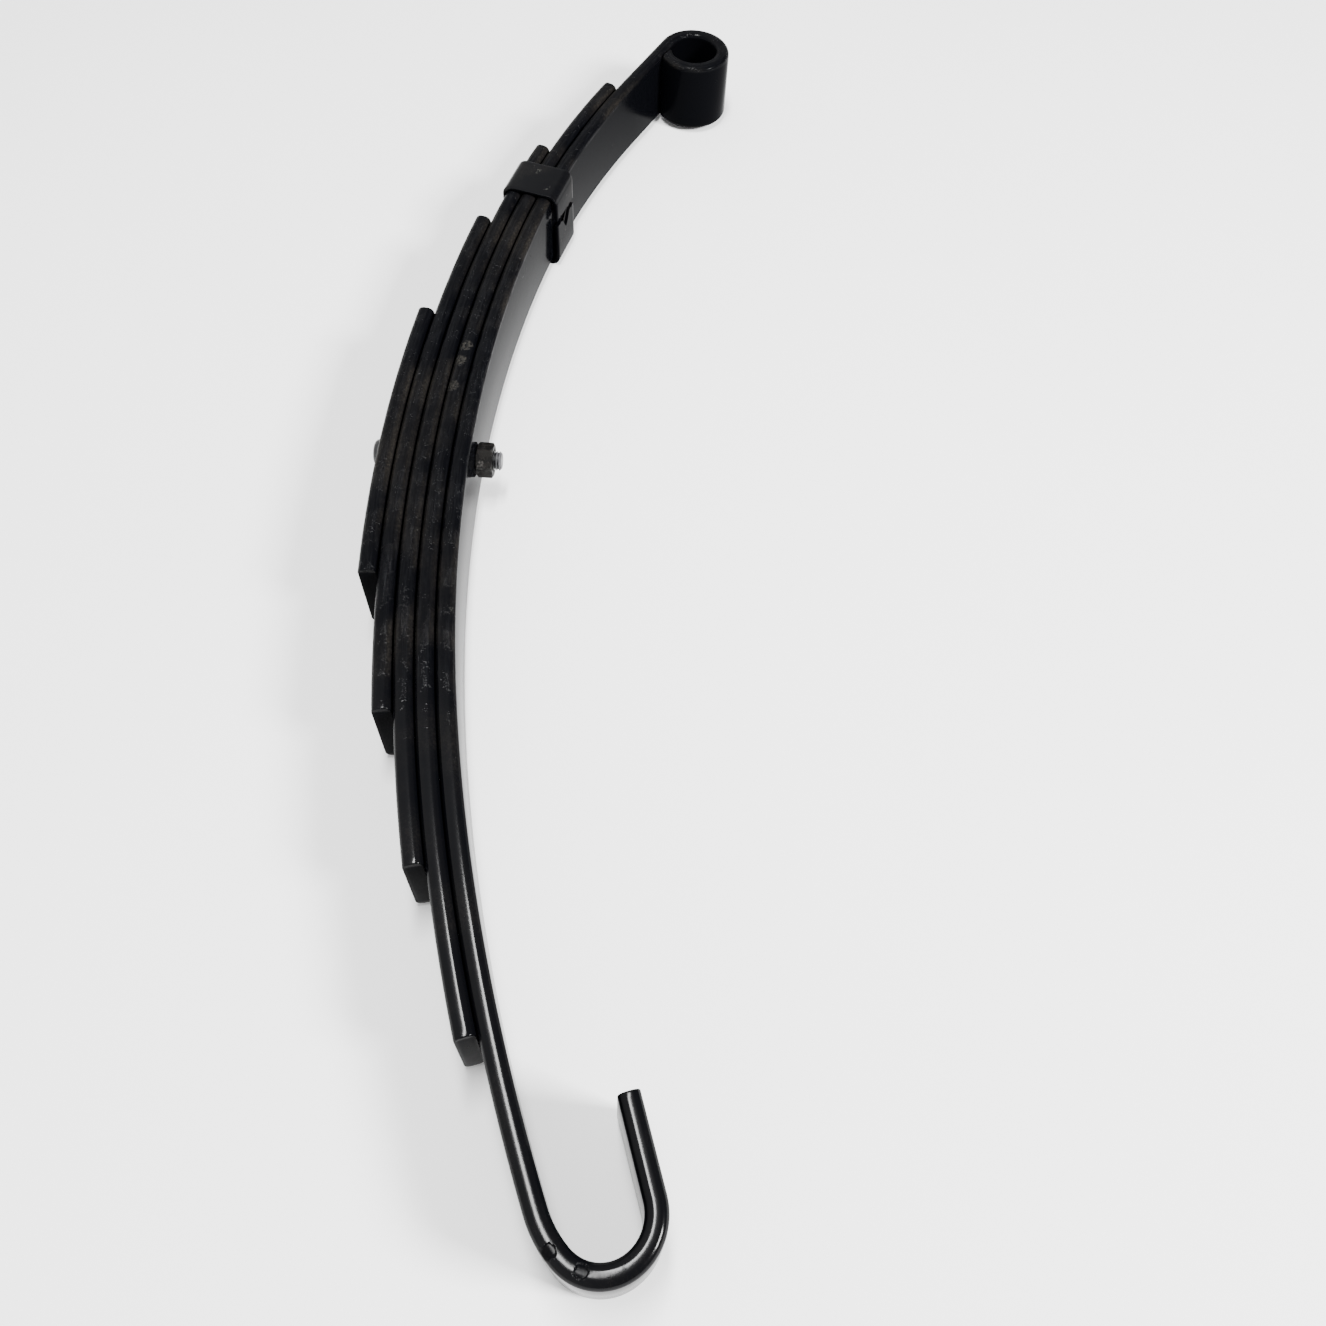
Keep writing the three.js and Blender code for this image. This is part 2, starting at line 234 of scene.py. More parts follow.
def bend_bar(side, stretches, reach=None):
    """Bend the selected end face towards the eye (+1) or the hook (-1), as far as the reach."""
    place = (BOLT_X, FACE_Y, 0.0)
    left = reach if reach else sum(length for length, _ in stretches)
    for length, radius in stretches:
        run = min(length, left)
        if run <= 0:
            break
        x, y, heading = place
        if radius:
            centre = (x - side * radius * math.sin(heading), y - radius * math.cos(heading), 0)
            steps = math.ceil(run / min(BEND_STEP, radius * BEND_TURN))
            bpy.ops.mesh.spin(steps=steps, angle=side * run / radius, center=centre, axis=(0, 0, 1))
        else:
            steps = math.ceil(run / BEND_STEP)
            step = run / steps
            move = (side * math.cos(heading) * step, -math.sin(heading) * step, 0)
            for _ in range(steps):
                bpy.ops.mesh.extrude_region_move(TRANSFORM_OT_translate={"value": move})
        place = stretch_end(place, side, run, radius)
        left -= run
    return place


def middle_face(face):
    return abs(face.center.x - BOLT_X) < 1e-5 and len(face.vertices) > 4


def bent_bar(name, depth, to_hook=None, to_eye=None):
    """A whole bar, bent both ways from the centre bolt. Returns it and the place of its eye end."""
    piece = bar_section(name, depth)
    pick(piece, "FACE", lambda f: True)
    eye_place = bend_bar(1, TO_EYE, to_eye)
    leave_edit()
    pick(piece, "FACE", middle_face)
    bend_bar(-1, TO_HOOK, to_hook)
    leave_edit()
    return piece, eye_place


# %% [markdown]
# ## The longest bar, with its rolled eye and hook
# The eye is the end of the bar rolled round a mandrel until it nearly meets the bar again. Here
# it is one more spin about the middle of the bore, taken a little too far and then cut flat, as
# the real end is. Bisect only cuts what is selected, so the rest of the bar is safe.

# %% Longest bar
ROLL_TILT = math.radians(4.3)
ROLL_GAP = 0.4 * MM
ROLL_TURN = math.radians(336.5)
FOOT_SEARCH = 8 * MM

main_leaf, eye_foot = bent_bar("main_leaf_fine", 0)
foot_x, foot_y, foot_turn = eye_foot
eye_centre = Vector((
    foot_x - math.sin(foot_turn) * BORE_RADIUS,
    foot_y - math.cos(foot_turn) * BORE_RADIUS,
    0,
))


def at_foot(face):
    from_foot = Vector(face.center) - Vector((foot_x, foot_y, MID_Z))
    return from_foot.length < FOOT_SEARCH and len(face.vertices) > 4


roll_start = len(main_leaf.data.vertices)
pick(main_leaf, "FACE", at_foot)
roll_steps = math.ceil(ROLL_TURN / BEND_TURN)
bpy.ops.mesh.spin(steps=roll_steps, angle=ROLL_TURN, center=eye_centre, axis=(0, 0, 1))
leave_edit()

eye_outer = BORE_RADIUS + BAR_THICKNESS
corner_height = BORE_RADIUS - ROLL_GAP
corner_reach = math.sqrt(eye_outer ** 2 - corner_height ** 2)
cut_distance = corner_height * math.cos(ROLL_TILT) - corner_reach * math.sin(ROLL_TILT)
cut_way = Vector((math.sin(foot_turn + ROLL_TILT), math.cos(foot_turn + ROLL_TILT), 0))
bar_way = Vector((math.cos(foot_turn), -math.sin(foot_turn), 0))


def roll_end(face):
    """The last stretch of the roll: it lies behind the bore's middle, rising towards the bar."""
    from_middle = Vector(face.center) - eye_centre
    behind = from_middle.dot(bar_way) < 0 and from_middle.dot(cut_way) > 0
    return min(face.vertices) >= roll_start and behind


picked = pick(main_leaf, "FACE", roll_end)
bpy.ops.mesh.bisect(
    plane_co=eye_centre + cut_way * cut_distance,
    plane_no=cut_way,
    clear_outer=True,
    use_fill=True,
)
leave_edit()
print("eye centre", tuple(round(c, 4) for c in eye_centre), "faces at the roll's end", picked)

# %% [markdown]
# ## Soft cut ends and drilled holes
# Sheared ends keep a small radius under the paint, which is what catches the light, so the edges
# round each flat end are bevelled. Holes are drilled with a Boolean, the script's drill press.

# %% Cut ends and holes
END_RADIUS = 0.6 * MM
HOLE_RADIUS = 5.4 * MM
DRILL_REACH = (-10 * MM, 60 * MM)


def soften_ends(piece, radius=END_RADIUS):
    """Bevel the edges round every flat end, which are the only faces with many corners."""
    ends = [f for f in piece.data.polygons if len(f.vertices) > 8]
    rims = {key for f in ends for key in f.edge_keys}
    pick(piece, "EDGE", lambda e: tuple(sorted(e.vertices)) in rims)
    bpy.ops.mesh.bevel(offset=radius, segments=3, affect="EDGES")
    leave_edit()
    return len(ends)


def turned(name, x, z, rings, corners=64):
    """Turn a shape about an axis along Y, from flat end to flat end. Rings are (radius, y)."""
    clear_selection()
    radius, y = rings[0]
    bpy.ops.mesh.primitive_circle_add(
        vertices=corners, radius=radius, fill_type="NGON",
        location=(x, y, z), rotation=(math.pi / 2, 0, 0),
    )
    piece = bpy.context.object
    piece.name = name
    piece.data.name = name
    place_in_mesh(piece)
    pick(piece, "FACE", lambda f: True)
    for next_radius, next_y in rings[1:]:
        bpy.ops.mesh.extrude_region_move(TRANSFORM_OT_translate={"value": (0, next_y - y, 0)})
        ratio = next_radius / radius
        bpy.ops.transform.resize(value=(ratio, 1, ratio), center_override=(x, next_y, z))
        radius, y = next_radius, next_y
    leave_edit()
    return piece


def combine(piece, tool, operation="DIFFERENCE"):
    """Cut a piece with a tool, or keep only what both share, and put the tool away."""
    point_outwards(piece)
    point_outwards(tool)
    apply_modifier(piece, "BOOLEAN", operation=operation, object=tool, solver="EXACT")
    bpy.data.objects.remove(tool)


def drill_bolt_hole(piece):
    rings = [(HOLE_RADIUS, FACE_Y + reach) for reach in DRILL_REACH]
    combine(piece, turned("drill", BOLT_X, MID_Z, rings))


print("soft ends on the longest bar:", soften_ends(main_leaf))
drill_bolt_hole(main_leaf)
close_up(main_leaf)

# %% [markdown]
# ## The four shorter bars
# Each shorter bar follows the same bow one pitch further out, and stops at its own reach either
# side of the bolt. They share the bending code, so they nest without any fitting.

# %% Shorter bars
REACHES = {
    "second_leaf": (300 * MM, 305 * MM),
    "third_leaf": (229 * MM, 230.5 * MM),
    "fourth_leaf": (157.5 * MM, 160 * MM),
    "fifth_leaf": (85.5 * MM, 82.7 * MM),
}
leaves = {"main_leaf": main_leaf}
for number, (node, (to_hook, to_eye)) in enumerate(REACHES.items(), start=1):
    leaf, _ = bent_bar(node + "_fine", number * BAR_PITCH, to_hook, to_eye)
    soften_ends(leaf)
    drill_bolt_hole(leaf)
    leaves[node] = leaf

# %% [markdown]
# ## Rebound clip and its rivet
# The clip is a strap bent round the first three bars near the eye, so that they lift together
# when the axle drops. It starts and ends at a seam on the concave side. One rivet through the
# third bar stops it sliding off. The strap is bent with the same spins, now round the bar.

# %% Clip
CLIP_REACH = 197.6 * MM
CLIP_WIDTH = 27 * MM
STRAP = 2 * MM
STRAP_INNER_CORNER = 3.5 * MM
CLIP_STANDOFF = 1.8 * MM
SEAM_GAP = 4 * MM
SEAM_HEIGHT = 5.5 * MM
SEAM_SLOPE = -math.tan(math.radians(4))
STRAP_ROUNDING = 0.5 * MM
SEAM_CUTS = 15
STRAIGHT_START = 5 * MM
clipped_depth = 2 * BAR_PITCH + BAR_THICKNESS

first_length, first_radius = TO_EYE[0]
clip_radius = TO_EYE[1][1]
arc_start = stretch_end((BOLT_X, FACE_Y, 0.0), 1, first_length, first_radius)
clip_x, clip_y, clip_turn = stretch_end(arc_start, 1, CLIP_REACH - first_length, clip_radius)
along = Vector((math.cos(clip_turn), -math.sin(clip_turn), 0))
outward = Vector((math.sin(clip_turn), math.cos(clip_turn), 0))
upward = Vector((0, 0, 1))
clip_middle = Vector((clip_x, clip_y, MID_Z))
half_width = CLIP_WIDTH / 2
bow_rise = clip_radius - math.sqrt(clip_radius ** 2 - half_width ** 2)
inner_near = -CONTACT_GAP - bow_rise - CLIP_STANDOFF
inner_far = clipped_depth + CONTACT_GAP
inner_top = BAR_WIDTH / 2 + CONTACT_GAP


def in_clip(depth, height):
    """A point given in the clip's own directions."""
    return clip_middle + outward * depth + upward * height


def run_strap(way, length):
    bpy.ops.mesh.extrude_region_move(TRANSFORM_OT_translate={"value": way * length})


def bend_strap(depth, height):
    bpy.ops.mesh.spin(steps=6, angle=math.pi / 2, center=in_clip(depth, height), axis=along)


def is_long_edge(edge):
    first, last = (clip.data.vertices[number].co for number in edge.vertices)
    return (first - last).length > half_width


clear_selection()
strap_start = in_clip(inner_near - STRAP / 2, SEAM_HEIGHT + SEAM_GAP / 2)
bpy.ops.mesh.primitive_plane_add(size=1, location=strap_start, rotation=(0, 0, -clip_turn))
clip = bpy.context.object
clip.name = clip.data.name = "rebound_clip_fine"
clip.scale = (CLIP_WIDTH, STRAP, 1)
place_in_mesh(clip)
pick(clip, "VERT", lambda v: True)
bpy.ops.mesh.bevel(offset=STRAP_ROUNDING, segments=2, affect="VERTICES")
leave_edit()
pick(clip, "EDGE", is_long_edge)
bpy.ops.mesh.subdivide(number_cuts=SEAM_CUTS)
leave_edit()
pick(clip, "FACE", lambda f: True)
corner = STRAP_INNER_CORNER
side_run = inner_top - corner
near, far = inner_near + corner, inner_far - corner
run_strap(upward, STRAIGHT_START)
run_strap(upward, side_run - SEAM_HEIGHT - SEAM_GAP / 2 - STRAIGHT_START)
bend_strap(near, side_run)
run_strap(outward, far - near)
bend_strap(far, side_run)
run_strap(-upward, 2 * side_run)
bend_strap(far, -side_run)
run_strap(-outward, far - near)
bend_strap(near, -side_run)
run_strap(upward, side_run / 2)
run_strap(upward, side_run / 2 + SEAM_HEIGHT - SEAM_GAP / 2)
leave_edit()

# %% [markdown]
# The two ends at the seam run at a slant and are ragged, and the lower one is torn into a notch.
# Their corners are moved by the slant, by a random little more or less, and by the notch's depth.

# %% Ragged seam
RAG = 0.9 * MM
TEAR_REACH = 0.5 * MM
TEAR_WIDTH = 6.5 * MM
TEAR_DEPTH = 9 * MM
RAG_COUNT = 40
RAG_BIAS = 0.3
RAG_PLACES = 16
UPPER_RAGS = 19
HEIGHT_TOLERANCE = 0.01 * MM

rags = [random.uniform(-1, 1) for _ in range(RAG_COUNT)]
moved = 0
for corner_point in clip.data.vertices:
    from_middle = corner_point.co - clip_middle
    reach = from_middle.dot(along)
    for side in (1, -1):
        end_height = SEAM_HEIGHT + side * SEAM_GAP / 2
        if from_middle.dot(outward) > 0 or abs(from_middle.z - end_height) > HEIGHT_TOLERANCE:
            continue
        rag_number = int((reach / CLIP_WIDTH + 0.5) * RAG_PLACES)
        ragged = max(0.0, RAG_BIAS + rags[rag_number + (UPPER_RAGS if side > 0 else 0)])
        notch = max(0.0, 1 - abs(reach - TEAR_REACH) / TEAR_WIDTH)
        torn = TEAR_DEPTH * notch if side < 0 else 0.0
        corner_point.co.z += reach * SEAM_SLOPE + side * RAG * ragged - torn
        moved += 1
clip.data.update()
print("ragged corners:", moved)

# %% Rivet
RIVET_RADIUS = 4 * MM
RIVET_HOLE = 4.3 * MM
SINK_RADIUS = 6.5 * MM
SINK_DEPTH = 2.5 * MM
RIVET_HEAD_RADIUS = 7 * MM
RIVET_HEAD_HEIGHT = 3 * MM
DOME_STEPS = 7
third_face = 2 * BAR_PITCH
head_face = inner_far + STRAP + CONTACT_GAP


def at_clip(piece):
    """Move a piece turned about the Y axis through the origin to the clip's middle."""
    take(piece)
    piece.rotation_euler = (0, 0, -clip_turn)
    piece.location = clip_middle
    place_in_mesh(piece)
    return piece


def rivet_drill():
    rings = [
        (SINK_RADIUS + CONTACT_GAP, third_face - 0.2 * MM),
        (SINK_RADIUS + CONTACT_GAP, third_face),
        (RIVET_HOLE, third_face + SINK_DEPTH),
        (RIVET_HOLE, inner_far + 2 * STRAP),
    ]
    return at_clip(turned("drill", 0, 0, rings))


dome = []
for step in range(DOME_STEPS):
    lift = math.pi / 2 * step / DOME_STEPS
    height = head_face + RIVET_HEAD_HEIGHT * math.sin(lift)
    dome.append((RIVET_HEAD_RADIUS * math.cos(lift), height))
shank_rings = [
    (SINK_RADIUS - CONTACT_GAP, third_face),
    (RIVET_RADIUS, third_face + SINK_DEPTH),
    (RIVET_RADIUS, head_face),
]
rivet = at_clip(turned("clip_rivet_fine", 0, 0, shank_rings + dome, corners=48))
combine(clip, rivet_drill())
combine(leaves["third_leaf"], rivet_drill())
close_up(clip)
close_up(rivet)
for leaf in leaves.values():
    close_up(leaf)

# %% [markdown]
# ## Centre bolt and nut
# The bolt's round head stands out on the convex side and drops into the axle seat. Its end stands
# a couple of threads out of the nut. The thread is turned as rings rather than a helix: at this
# size nobody can tell, and rings stay closed.

# %% Centre bolt
BOLT_RADIUS = 5 * MM
THREAD_PITCH = 1.5 * MM
THREAD_DEPTH = 0.75 * MM
BOLT_END_CHAMFER = 1 * MM
HEAD_RADIUS = 7.25 * MM
HEAD_ROUNDING = 2.5 * MM
HEAD_CHAMFER = 0.4 * MM
THREAD_RINGS = 6
THREAD_PROFILE = [(0.12, 0), (0.5, THREAD_DEPTH), (0.6, THREAD_DEPTH), (0.98, 0)]

bolt_end = bolt_low.y
stack_face_y = FACE_Y + 4 * BAR_PITCH + BAR_THICKNESS
head_face_y = stack_face_y + CONTACT_GAP
rings = [(BOLT_RADIUS - BOLT_END_CHAMFER, bolt_end), (BOLT_RADIUS, bolt_end + BOLT_END_CHAMFER)]
y = bolt_end + BOLT_END_CHAMFER
for _ in range(THREAD_RINGS):
    rings += [(BOLT_RADIUS - cut, y + THREAD_PITCH * part) for part, cut in THREAD_PROFILE]
    y += THREAD_PITCH
rings += [
    (BOLT_RADIUS, head_face_y),
    (HEAD_RADIUS - HEAD_CHAMFER, head_face_y),
    (HEAD_RADIUS, head_face_y + HEAD_CHAMFER),
]
for step in range(7):
    lift = math.pi / 2 * step / 6
    rings.append((
        HEAD_RADIUS - HEAD_ROUNDING + HEAD_ROUNDING * math.cos(lift),
        bolt_high.y - HEAD_ROUNDING + HEAD_ROUNDING * math.sin(lift),
    ))
bolt = turned("centre_bolt_fine", BOLT_X, MID_Z, rings)
close_up(bolt, 25)

# %% [markdown]
# The nut is a six-sided bar with its corners turned off, then bored. Keeping only what the bar
# and a turned double cone share gives the curved chamfers that every hexagon nut has.

# %% Centre nut
NUT_HALF_FLATS = 8 * MM
NUT_CHAMFER = 1 * MM
NUT_CHAMFER_RISE = math.tan(math.radians(30))
NUT_BORE = 5.3 * MM
NUT_SOFTNESS = 0.25 * MM
NUT_TURN = math.radians(-6.4)

nut_middle = (BOLT_X, (nut_low.y + nut_high.y) / 2, MID_Z)
nut_height = nut_high.y - nut_low.y
clear_selection()
bpy.ops.mesh.primitive_cylinder_add(
    vertices=6, radius=NUT_HALF_FLATS / math.cos(math.pi / 6), depth=nut_height,
    location=nut_middle, rotation=(math.pi / 2, NUT_TURN, 0),
)
nut = bpy.context.object
nut.name = nut.data.name = "centre_nut_fine"
place_in_mesh(nut)
widest = NUT_HALF_FLATS + 2 * NUT_CHAMFER
rise = 2 * NUT_CHAMFER * NUT_CHAMFER_RISE
combine(nut, turned("chamfer_cone", BOLT_X, MID_Z, [
    (NUT_HALF_FLATS, nut_low.y), (widest, nut_low.y + rise),
    (widest, nut_high.y - rise), (NUT_HALF_FLATS, nut_high.y),
]), "INTERSECT")
combine(nut, turned("bore", BOLT_X, MID_Z, [
    (NUT_BORE + NUT_CHAMFER, nut_low.y - 0.4 * MM), (NUT_BORE, nut_low.y + 0.6 * MM),
    (NUT_BORE, nut_high.y + MM),
]))
apply_modifier(
    nut, "BEVEL", width=NUT_SOFTNESS, segments=2,
    limit_method="ANGLE", angle_limit=math.radians(40),
)
close_up(nut, 30)

# %% [markdown]
# ## Helpers for node materials
# A node is added with its settings and its unlinked values in one line. Effects that several
# finishes share are node groups: each is built once and placed with its own values.

# %% Node helpers
def feed(tree, node, values):
    """Give a node's sockets, by name or number, their values or the sockets to link from."""
    for socket, value in dict(values).items():
        if isinstance(value, bpy.types.NodeSocket):
            tree.links.new(value, node.inputs[socket])
        else:
            node.inputs[socket].default_value = value
    return node


def add(tree, kind, values=(), **settings):
    """Add a node with its settings and its sockets' values."""
    made = tree.nodes.new(kind)
    for name, value in settings.items():
        setattr(made, name, value)
    return feed(tree, made, values)


def group(name, inputs, outputs):
    """A new node group with named sockets. Returns its tree, its input and its output node."""
    tree = bpy.data.node_groups.new(name, "ShaderNodeTree")
    for socket, kind, default in inputs:
        made = tree.interface.new_socket(socket, in_out="INPUT", socket_type=kind)
        if default is not None:
            made.default_value = default
    for socket, kind in outputs:
        tree.interface.new_socket(socket, in_out="OUTPUT", socket_type=kind)
    return tree, tree.nodes.new("NodeGroupInput"), tree.nodes.new("NodeGroupOutput")


def sized(tree, group_in):
    """The group's Vector input times its Size input."""
    sockets = {0: group_in.outputs["Vector"], "Scale": group_in.outputs["Size"]}
    return add(tree, "ShaderNodeVectorMath", sockets, operation="SCALE").outputs[0]


def use(tree, made_group, values):
    """Place a shared effect with its own values."""
    return add(tree, "ShaderNodeGroup", values, node_tree=made_group)


def maths(tree, operation, a, b=0.0, clamp=False):
    made = add(tree, "ShaderNodeMath", {0: a, 1: b}, operation=operation, use_clamp=clamp)
    return made.outputs[0]


def plus(tree, total, mask, weight):
    """The total with a weighted mask added, or taken away when the weight is negative."""
    way = "ADD" if weight > 0 else "SUBTRACT"
    return maths(tree, way, total, maths(tree, "MULTIPLY", mask, abs(weight)))


def without(tree, value, mask, share=1.0):
    """The value with a share of it taken away where the mask is full."""
    masked = mask if share == 1.0 else maths(tree, "MULTIPLY", mask, share)
    return maths(tree, "MULTIPLY", value, maths(tree, "SUBTRACT", 1.0, masked))


def axis(tree, vector, name):
    return add(tree, "ShaderNodeSeparateXYZ", {0: vector}).outputs[name]


def distance(tree, vector, point):
    made = add(tree, "ShaderNodeVectorMath", {0: vector, 1: point}, operation="DISTANCE")
    return made.outputs["Value"]


def noise(tree, vector, scale, detail=3.0, roughness=0.55):
    made = add(tree, "ShaderNodeTexNoise", {
        "Vector": vector, "Scale": scale, "Detail": detail, "Roughness": roughness,
    })
    return made.outputs[0]


def ramp(tree, value, low, high, out_low=0.0, out_high=1.0):
    """Smoothly from one value to another as the input passes from low to high."""
    made = add(tree, "ShaderNodeMapRange", {
        "Value": value, "From Min": low, "From Max": high, "To Min": out_low, "To Max": out_high,
    }, interpolation_type="SMOOTHSTEP")
    return made.outputs[0]


def mix_colour(tree, factor, a, b):
    return add(tree, "ShaderNodeMix", {0: factor, 6: a, 7: b}, data_type="RGBA").outputs[2]


FLOAT, VECTOR = "NodeSocketFloat", "NodeSocketVector"
SIZED = [("Vector", VECTOR, None), ("Size", FLOAT, 1.0)]

# %% [markdown]
# ## Shared effects
# Four things make black paint look like paint on a forging: the faint waviness of a sprayed coat,
# the mill scale it covers, the places where it has flaked off, and the dust that settles on it.

# %% Paint waviness
peel_group, g_in, g_out = group(
    "paint_waviness",
    SIZED + [("Height", FLOAT, 1.0)],
    [("Height", FLOAT)],
)
g_vector = sized(peel_group, g_in)
coarse = maths(peel_group, "MULTIPLY", noise(peel_group, g_vector, 90, 2), 0.7)
fine = maths(peel_group, "MULTIPLY", noise(peel_group, g_vector, 420, 2), 0.3)
both = maths(peel_group, "ADD", coarse, fine)
raised = maths(peel_group, "MULTIPLY", both, g_in.outputs["Height"])
peel_group.links.new(raised, g_out.inputs["Height"])

# %% Mill scale and pits
scale_group, g_in, g_out = group(
    "mill_scale",
    SIZED + [("Amount", FLOAT, 0.5), ("Height", FLOAT, 1.0)],
    [("Height", FLOAT), ("Mask", FLOAT)],
)
g_vector = sized(scale_group, g_in)
where = noise(scale_group, g_vector, 55, 4, 0.6)
limit = maths(scale_group, "SUBTRACT", 1.0, g_in.outputs["Amount"])
upper = maths(scale_group, "ADD", limit, 0.03)
flake = add(scale_group, "ShaderNodeMapRange", {
    "Value": where, "From Min": limit, "From Max": upper,
}, interpolation_type="SMOOTHSTEP")
grain = noise(scale_group, g_vector, 700, 4, 0.7)
coarse_grain = maths(scale_group, "ADD", grain, 0.4)
rough_flake = maths(scale_group, "MULTIPLY", flake.outputs[0], coarse_grain)
scale_group.links.new(
    maths(scale_group, "MULTIPLY", rough_flake, g_in.outputs["Height"]), g_out.inputs["Height"]
)
scale_group.links.new(flake.outputs[0], g_out.inputs["Mask"])

# %% Chipped paint
chip_group, g_in, g_out = group(
    "chipped_paint",
    SIZED + [("Amount", FLOAT, 0.3), ("Where", FLOAT, 1.0)],
    [("Mask", FLOAT)],
)
g_vector = sized(chip_group, g_in)
big = noise(chip_group, g_vector, 38, 2, 0.5)
small = noise(chip_group, g_vector, 240, 4, 0.7)
summed = plus(chip_group, maths(chip_group, "MULTIPLY", big, 0.6), small, 0.4)
limit = maths(chip_group, "SUBTRACT", 1.0, g_in.outputs["Amount"])
chip = add(chip_group, "ShaderNodeMapRange", {
    "Value": summed, "From Min": limit, "From Max": maths(chip_group, "ADD", limit, 0.012),
}, interpolation_type="SMOOTHSTEP")
chip_group.links.new(
    maths(chip_group, "MULTIPLY", chip.outputs[0], g_in.outputs["Where"]), g_out.inputs["Mask"]
)

# %% Settled dust
dust_group, g_in, g_out = group(
    "settled_dust",
    SIZED + [("Amount", FLOAT, 0.5), ("Where", FLOAT, 1.0)],
    [("Mask", FLOAT)],
)
g_vector = sized(dust_group, g_in)
cloud = ramp(dust_group, noise(dust_group, g_vector, 22, 4, 0.6), 0.42, 0.72)
speck = ramp(dust_group, noise(dust_group, g_vector, 900, 2, 0.6), 0.4, 0.7, 0.35, 1.0)
mask = maths(dust_group, "MULTIPLY", cloud, speck)
mask = maths(dust_group, "MULTIPLY", mask, g_in.outputs["Amount"])
mask = maths(dust_group, "MULTIPLY", mask, g_in.outputs["Where"])
dust_group.links.new(mask, g_out.inputs["Mask"])
print("node groups:", [made.name for made in bpy.data.node_groups])

# %% [markdown]
# ## Black paint on the bars
# The wide faces are smooth and glossy enough to mirror the bench. The narrow rounded edges keep
# the roughness of the rolling mill, and the dust lies in the grooves between the bars. Height in
# the bar tells the finish which is which, and the stored depth tells it where the grooves are.
# Round the clip's seam the face is painted black and rough, as a painted shadow of the strap.

# %% Leaf paint
BLACK = (0.0013, 0.0014, 0.0019, 1)
DUST = (0.017, 0.015, 0.0125, 1)
BARE = (0.022, 0.022, 0.020, 1)
CRUST = (0.020, 0.019, 0.017, 1)
WORN = (0.0042, 0.0044, 0.0052, 1)
PAINT_IOR = 1.045
COAT_IOR = 1.5
PAINT_RELIEF = 0.12 * MM
TOP_Z = MID_Z + BAR_WIDTH / 2


def new_material(name):
    """A new material, its tree, its shader and the place in the object."""
    material = bpy.data.materials.new(name)
    material.use_nodes = True
    tree = material.node_tree
    tree.nodes.clear()
    shader = tree.nodes.new("ShaderNodeBsdfPrincipled")
    output = tree.nodes.new("ShaderNodeOutputMaterial")
    tree.links.new(shader.outputs[0], output.inputs[0])
    place = tree.nodes.new("ShaderNodeTexCoord").outputs["Object"]
    return material, tree, shader, place


def set_bump(tree, shader, height, relief):
    bump = add(tree, "ShaderNodeBump", {"Height": height, "Distance": relief, "Strength": 1.0})
    tree.links.new(bump.outputs[0], shader.inputs["Normal"])
    tree.links.new(bump.outputs[0], shader.inputs["Coat Normal"])


RIDGES_ACROSS, RIDGES_ALONG, RIDGES_UP = 5.0, 45.0, 400.0
STACK_FADE = (-190 * MM, -110 * MM)
SPOT_JITTER = 3.5 * MM
CRUST_SPOTS = [(59.7 * MM, 12.2 * MM), (48.4 * MM, 13.8 * MM), (30.1 * MM, 15.3 * MM)]
CRUST_RADIUS = 4.2 * MM
FLAKE_SPOTS = [(-368.3 * MM, -76.9 * MM), (-373.2 * MM, -89.1 * MM)]
FLAKE_RADIUS = 3 * MM
SEAM_SHADE = (15 * MM, 11 * MM)

leaf_paint, tree, shader, place = new_material("black_leaf_paint")
height_in_bar = axis(tree, place, "Z")
along_bar = axis(tree, place, "X")
off_middle = maths(tree, "ABSOLUTE", maths(tree, "SUBTRACT", height_in_bar, MID_Z))
edge = ramp(tree, off_middle, BAR_WIDTH / 2 - 3.6 * MM, BAR_WIDTH / 2 - 1.2 * MM)
depth = add(tree, "ShaderNodeAttribute", attribute_name="depth").outputs["Fac"]
off_core = maths(tree, "ABSOLUTE", maths(tree, "SUBTRACT", depth, 0.5))
groove = maths(tree, "MULTIPLY", ramp(tree, off_core, 0.1, 0.42), edge)
edge_coat = ramp(tree, depth, 0.03, 0.22)
ridge_place = add(tree, "ShaderNodeCombineXYZ", {
    "X": maths(tree, "MULTIPLY", depth, RIDGES_ACROSS),
    "Y": maths(tree, "MULTIPLY", along_bar, RIDGES_ALONG),
    "Z": maths(tree, "MULTIPLY", height_in_bar, RIDGES_UP),
}).outputs[0]
in_stack = ramp(tree, along_bar, BOLT_X + STACK_FADE[0], BOLT_X + STACK_FADE[1])
rolled = maths(tree, "MULTIPLY", edge, in_stack)
ridges = maths(tree, "MULTIPLY", noise(tree, ridge_place, 1.0, 2), rolled)

jitter = add(tree, "ShaderNodeTexNoise", {"Vector": place, "Scale": 420.0, "Detail": 3.0})
shift = add(tree, "ShaderNodeVectorMath", {
    0: jitter.outputs["Color"], 1: (SPOT_JITTER, SPOT_JITTER, 0.0),
}, operation="MULTIPLY")
smeared = add(tree, "ShaderNodeVectorMath", {0: place, 1: shift.outputs[0]}, operation="ADD")


def spots(places, radius):
    """A mask of ragged round spots on the upper edges, given from the bolt in X and Y."""
    mask = 0.0
    for x, y in places:
        centre = (BOLT_X + x + SPOT_JITTER / 2, FACE_Y + y + SPOT_JITTER / 2, TOP_Z)
        away = distance(tree, smeared.outputs[0], centre)
        mask = maths(tree, "ADD", mask, ramp(tree, away, radius, radius * 0.7), clamp=True)
    return mask


crust = spots(CRUST_SPOTS, CRUST_RADIUS)
flaked = spots(FLAKE_SPOTS, FLAKE_RADIUS)
# Painted shadow: the face round the clip's seam is painted black, in place of the strap's shade.
seam_centre = (clip_middle.x, clip_middle.y, MID_Z + SEAM_HEIGHT)
seam_painted_shadow = ramp(tree, distance(tree, place, seam_centre), *SEAM_SHADE)

